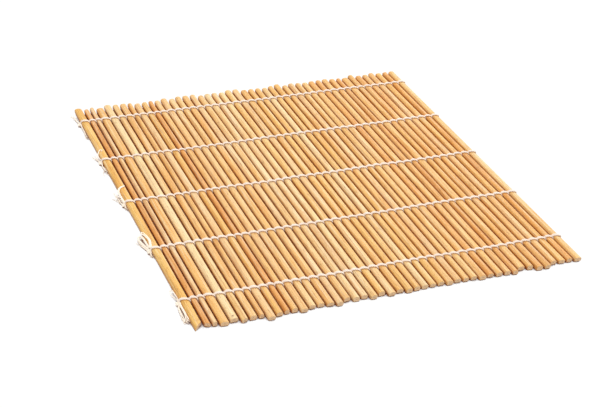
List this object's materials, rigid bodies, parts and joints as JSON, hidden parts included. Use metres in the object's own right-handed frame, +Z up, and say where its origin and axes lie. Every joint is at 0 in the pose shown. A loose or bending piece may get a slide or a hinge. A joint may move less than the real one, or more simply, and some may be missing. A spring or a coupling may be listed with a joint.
{
  "type": "sushi rolling mat",
  "caption": "Bamboo rolling mat: rounded sticks lie side by side and are tied by rows of twined cotton string that ends in knots, so the mat lies flat or curls into a roll.",
  "frame": {"origin": "middle of the bounding box's underside, in the plane where the strings under the sticks meet the table", "axes": "+X across the sticks, away from the knotted edge; +Y along the sticks, towards the ends with the short overhang; +Z up from the table"},
  "size_m": [0.2144, 0.2414, 0.004],
  "materials": {
    "bamboo": "dry split bamboo, cream to golden brown, fine long grain",
    "cotton": "soft off-white twined cotton string"
  },
  "bodies": {
    "stick_01": {"stick_01": "bamboo", "knot_1": "cotton", "knot_2": "cotton", "knot_3": "cotton", "knot_4": "cotton", "knot_5": "cotton"},
    "stick_02": {"stick_02": "bamboo"},
    "stick_03": {"stick_03": "bamboo"},
    "stick_04": {"stick_04": "bamboo"},
    "stick_05": {"stick_05": "bamboo"},
    "stick_06": {"stick_06": "bamboo"},
    "stick_07": {"stick_07": "bamboo"},
    "stick_08": {"stick_08": "bamboo"},
    "stick_09": {"stick_09": "bamboo"},
    "stick_10": {"stick_10": "bamboo"},
    "stick_11": {"stick_11": "bamboo"},
    "stick_12": {"stick_12": "bamboo"},
    "stick_13": {"stick_13": "bamboo"},
    "stick_14": {"stick_14": "bamboo"},
    "stick_15": {"stick_15": "bamboo"},
    "stick_16": {"stick_16": "bamboo"},
    "stick_17": {"stick_17": "bamboo"},
    "stick_18": {"stick_18": "bamboo"},
    "stick_19": {"stick_19": "bamboo"},
    "stick_20": {"stick_20": "bamboo"},
    "stick_21": {"stick_21": "bamboo"},
    "stick_22": {"stick_22": "bamboo"},
    "stick_23": {"stick_23": "bamboo", "string_row_1": "cotton", "string_row_2": "cotton", "string_row_3": "cotton", "string_row_4": "cotton", "string_row_5": "cotton"},
    "stick_24": {"stick_24": "bamboo"},
    "stick_25": {"stick_25": "bamboo"},
    "stick_26": {"stick_26": "bamboo"},
    "stick_27": {"stick_27": "bamboo"},
    "stick_28": {"stick_28": "bamboo"},
    "stick_29": {"stick_29": "bamboo"},
    "stick_30": {"stick_30": "bamboo"},
    "stick_31": {"stick_31": "bamboo"},
    "stick_32": {"stick_32": "bamboo"},
    "stick_33": {"stick_33": "bamboo"},
    "stick_34": {"stick_34": "bamboo"},
    "stick_35": {"stick_35": "bamboo"},
    "stick_36": {"stick_36": "bamboo"},
    "stick_37": {"stick_37": "bamboo"},
    "stick_38": {"stick_38": "bamboo"},
    "stick_39": {"stick_39": "bamboo"},
    "stick_40": {"stick_40": "bamboo"},
    "stick_41": {"stick_41": "bamboo"},
    "stick_42": {"stick_42": "bamboo"},
    "stick_43": {"stick_43": "bamboo"},
    "stick_44": {"stick_44": "bamboo"},
    "stick_45": {"stick_45": "bamboo"},
    "stick_46": {"stick_46": "bamboo"}
  },
  "joints": [
    {"name": "bend_01", "type": "hinge", "parent": "stick_02", "child": "stick_01", "pos_m": [-0.09808, 0, 0.00177], "axis": [0, 1, 0], "range_deg": [-13.5, 13.5]},
    {"name": "bend_02", "type": "hinge", "parent": "stick_03", "child": "stick_02", "pos_m": [-0.09427, 0, 0.00177], "axis": [0, 1, 0], "range_deg": [-10.8, 10.8]},
    {"name": "bend_03", "type": "hinge", "parent": "stick_04", "child": "stick_03", "pos_m": [-0.09085, 0, 0.00177], "axis": [0, 1, 0], "range_deg": [-13.2, 13.2]},
    {"name": "bend_04", "type": "hinge", "parent": "stick_05", "child": "stick_04", "pos_m": [-0.08548, 0, 0.00177], "axis": [0, 1, 0], "range_deg": [-16.1, 16.1]},
    {"name": "bend_05", "type": "hinge", "parent": "stick_06", "child": "stick_05", "pos_m": [-0.08026, 0, 0.00177], "axis": [0, 1, 0], "range_deg": [-14.8, 14.8]},
    {"name": "bend_06", "type": "hinge", "parent": "stick_07", "child": "stick_06", "pos_m": [-0.07586, 0, 0.00177], "axis": [0, 1, 0], "range_deg": [-14.3, 14.3]},
    {"name": "bend_07", "type": "hinge", "parent": "stick_08", "child": "stick_07", "pos_m": [-0.07106, 0, 0.00177], "axis": [0, 1, 0], "range_deg": [-13.2, 13.2]},
    {"name": "bend_08", "type": "hinge", "parent": "stick_09", "child": "stick_08", "pos_m": [-0.06745, 0, 0.00177], "axis": [0, 1, 0], "range_deg": [-13.3, 13.3]},
    {"name": "bend_09", "type": "hinge", "parent": "stick_10", "child": "stick_09", "pos_m": [-0.06266, 0, 0.00177], "axis": [0, 1, 0], "range_deg": [-14.7, 14.7]},
    {"name": "bend_10", "type": "hinge", "parent": "stick_11", "child": "stick_10", "pos_m": [-0.05825, 0, 0.00177], "axis": [0, 1, 0], "range_deg": [-13, 13]},
    {"name": "bend_11", "type": "hinge", "parent": "stick_12", "child": "stick_11", "pos_m": [-0.05457, 0, 0.00177], "axis": [0, 1, 0], "range_deg": [-13.1, 13.1]},
    {"name": "bend_12", "type": "hinge", "parent": "stick_13", "child": "stick_12", "pos_m": [-0.05021, 0, 0.00177], "axis": [0, 1, 0], "range_deg": [-15, 15]},
    {"name": "bend_13", "type": "hinge", "parent": "stick_14", "child": "stick_13", "pos_m": [-0.04545, 0, 0.00177], "axis": [0, 1, 0], "range_deg": [-15.4, 15.4]},
    {"name": "bend_14", "type": "hinge", "parent": "stick_15", "child": "stick_14", "pos_m": [-0.04093, 0, 0.00177], "axis": [0, 1, 0], "range_deg": [-15.3, 15.3]},
    {"name": "bend_15", "type": "hinge", "parent": "stick_16", "child": "stick_15", "pos_m": [-0.03637, 0, 0.00177], "axis": [0, 1, 0], "range_deg": [-16, 16]},
    {"name": "bend_16", "type": "hinge", "parent": "stick_17", "child": "stick_16", "pos_m": [-0.03149, 0, 0.00177], "axis": [0, 1, 0], "range_deg": [-16.1, 16.1]},
    {"name": "bend_17", "type": "hinge", "parent": "stick_18", "child": "stick_17", "pos_m": [-0.02702, 0, 0.00177], "axis": [0, 1, 0], "range_deg": [-15.9, 15.9]},
    {"name": "bend_18", "type": "hinge", "parent": "stick_19", "child": "stick_18", "pos_m": [-0.02237, 0, 0.00177], "axis": [0, 1, 0], "range_deg": [-16.3, 16.3]},
    {"name": "bend_19", "type": "hinge", "parent": "stick_20", "child": "stick_19", "pos_m": [-0.01777, 0, 0.00177], "axis": [0, 1, 0], "range_deg": [-16.2, 16.2]},
    {"name": "bend_20", "type": "hinge", "parent": "stick_21", "child": "stick_20", "pos_m": [-0.0133, 0, 0.00177], "axis": [0, 1, 0], "range_deg": [-16.5, 16.5]},
    {"name": "bend_21", "type": "hinge", "parent": "stick_22", "child": "stick_21", "pos_m": [-0.00866, 0, 0.00177], "axis": [0, 1, 0], "range_deg": [-17.4, 17.4]},
    {"name": "bend_22", "type": "hinge", "parent": "stick_23", "child": "stick_22", "pos_m": [-0.00383, 0, 0.00177], "axis": [0, 1, 0], "range_deg": [-18.1, 18.1]},
    {"name": "bend_23", "type": "hinge", "parent": "stick_23", "child": "stick_24", "pos_m": [0.00103, 0, 0.00177], "axis": [0, -1, 0], "range_deg": [-18.4, 18.4], "deforming": ["string_row_1", "string_row_2", "string_row_3", "string_row_4", "string_row_5"]},
    {"name": "bend_24", "type": "hinge", "parent": "stick_24", "child": "stick_25", "pos_m": [0.0059, 0, 0.00177], "axis": [0, -1, 0], "range_deg": [-18, 18]},
    {"name": "bend_25", "type": "hinge", "parent": "stick_25", "child": "stick_26", "pos_m": [0.01038, 0, 0.00177], "axis": [0, -1, 0], "range_deg": [-17.4, 17.4]},
    {"name": "bend_26", "type": "hinge", "parent": "stick_26", "child": "stick_27", "pos_m": [0.01481, 0, 0.00177], "axis": [0, -1, 0], "range_deg": [-17.6, 17.6]},
    {"name": "bend_27", "type": "hinge", "parent": "stick_27", "child": "stick_28", "pos_m": [0.01927, 0, 0.00177], "axis": [0, -1, 0], "range_deg": [-17.7, 17.7]},
    {"name": "bend_28", "type": "hinge", "parent": "stick_28", "child": "stick_29", "pos_m": [0.02363, 0, 0.00177], "axis": [0, -1, 0], "range_deg": [-18.6, 18.6]},
    {"name": "bend_29", "type": "hinge", "parent": "stick_29", "child": "stick_30", "pos_m": [0.02838, 0, 0.00177], "axis": [0, -1, 0], "range_deg": [-19.3, 19.3]},
    {"name": "bend_30", "type": "hinge", "parent": "stick_30", "child": "stick_31", "pos_m": [0.03291, 0, 0.00177], "axis": [0, -1, 0], "range_deg": [-19.5, 19.5]},
    {"name": "bend_31", "type": "hinge", "parent": "stick_31", "child": "stick_32", "pos_m": [0.03757, 0, 0.00177], "axis": [0, -1, 0], "range_deg": [-19.6, 19.6]},
    {"name": "bend_32", "type": "hinge", "parent": "stick_32", "child": "stick_33", "pos_m": [0.04197, 0, 0.00177], "axis": [0, -1, 0], "range_deg": [-19.7, 19.7]},
    {"name": "bend_33", "type": "hinge", "parent": "stick_33", "child": "stick_34", "pos_m": [0.04651, 0, 0.00177], "axis": [0, -1, 0], "range_deg": [-21, 21]},
    {"name": "bend_34", "type": "hinge", "parent": "stick_34", "child": "stick_35", "pos_m": [0.05129, 0, 0.00177], "axis": [0, -1, 0], "range_deg": [-21.6, 21.6]},
    {"name": "bend_35", "type": "hinge", "parent": "stick_35", "child": "stick_36", "pos_m": [0.05592, 0, 0.00177], "axis": [0, -1, 0], "range_deg": [-22, 22]},
    {"name": "bend_36", "type": "hinge", "parent": "stick_36", "child": "stick_37", "pos_m": [0.06067, 0, 0.00177], "axis": [0, -1, 0], "range_deg": [-22.4, 22.4]},
    {"name": "bend_37", "type": "hinge", "parent": "stick_37", "child": "stick_38", "pos_m": [0.06521, 0, 0.00177], "axis": [0, -1, 0], "range_deg": [-20.8, 20.8]},
    {"name": "bend_38", "type": "hinge", "parent": "stick_38", "child": "stick_39", "pos_m": [0.06909, 0, 0.00177], "axis": [0, -1, 0], "range_deg": [-23.2, 23.2]},
    {"name": "bend_39", "type": "hinge", "parent": "stick_39", "child": "stick_40", "pos_m": [0.0744, 0, 0.00177], "axis": [0, -1, 0], "range_deg": [-25.1, 25.1]},
    {"name": "bend_40", "type": "hinge", "parent": "stick_40", "child": "stick_41", "pos_m": [0.07875, 0, 0.00177], "axis": [0, -1, 0], "range_deg": [-24.6, 24.6]},
    {"name": "bend_41", "type": "hinge", "parent": "stick_41", "child": "stick_42", "pos_m": [0.08362, 0, 0.00177], "axis": [0, -1, 0], "range_deg": [-26.1, 26.1]},
    {"name": "bend_42", "type": "hinge", "parent": "stick_42", "child": "stick_43", "pos_m": [0.08823, 0, 0.00177], "axis": [0, -1, 0], "range_deg": [-26.4, 26.4]},
    {"name": "bend_43", "type": "hinge", "parent": "stick_43", "child": "stick_44", "pos_m": [0.0929, 0, 0.00177], "axis": [0, -1, 0], "range_deg": [-27.8, 27.8]},
    {"name": "bend_44", "type": "hinge", "parent": "stick_44", "child": "stick_45", "pos_m": [0.09766, 0, 0.00177], "axis": [0, -1, 0], "range_deg": [-28.1, 28.1]},
    {"name": "bend_45", "type": "hinge", "parent": "stick_45", "child": "stick_46", "pos_m": [0.10208, 0, 0.00177], "axis": [0, -1, 0], "range_deg": [-29.5, 29.5]}
  ]
}
